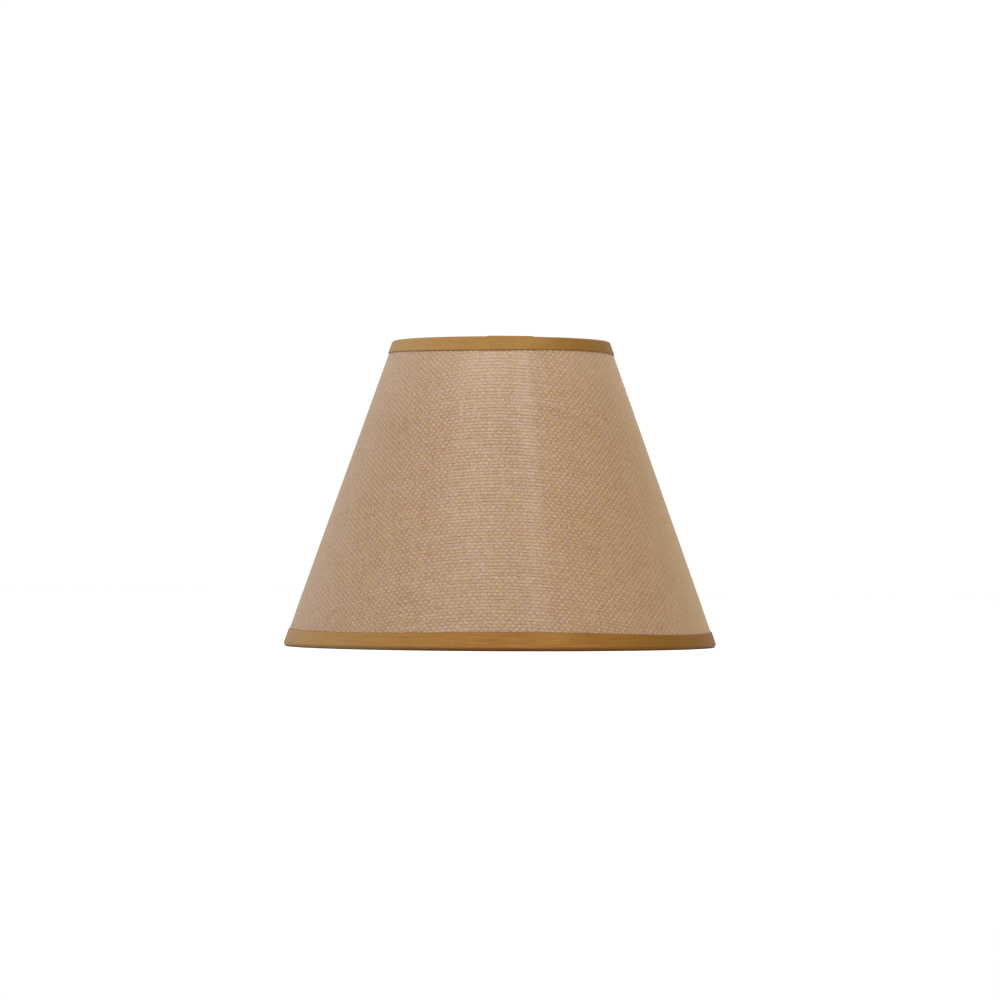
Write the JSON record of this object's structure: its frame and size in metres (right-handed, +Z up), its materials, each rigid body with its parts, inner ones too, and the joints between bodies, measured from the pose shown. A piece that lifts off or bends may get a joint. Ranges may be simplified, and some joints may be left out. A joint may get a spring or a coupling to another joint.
{
  "type": "lamp shade",
  "caption": "Tapered round lamp shade of coarse woven cloth on a hard lining, with ribbon-bound rims and a spider fitter that drops over a lamp's harp.",
  "frame": {"origin": "centre of the foot, on the plane that the shade stands on", "axes": "+Z up the shade's axis, front -Y, +X to the right seen from the front, side seam at the back"},
  "size_m": [0.305, 0.305, 0.2159],
  "materials": {
    "cloth": "coarse plain weave in pinkish beige and gold yarns",
    "lining": "smooth white styrene",
    "frame_wire": "brass-plated wire",
    "washer": "brass-plated stamping",
    "weld": "dull plated weld metal",
    "ribbon": "folded ribbon, fine golden brown weave"
  },
  "bodies": {
    "root": {"fabric_cover": "cloth", "styrene_liner": "lining", "seam_strip": "lining", "top_ring": "frame_wire", "bottom_ring": "frame_wire", "spider_arm_1": "frame_wire", "spider_arm_2": "frame_wire", "spider_arm_3": "frame_wire", "fitter_washer": "washer", "weld_beads": "weld", "top_trim": "ribbon", "bottom_trim": "ribbon"}
  },
  "joints": []
}
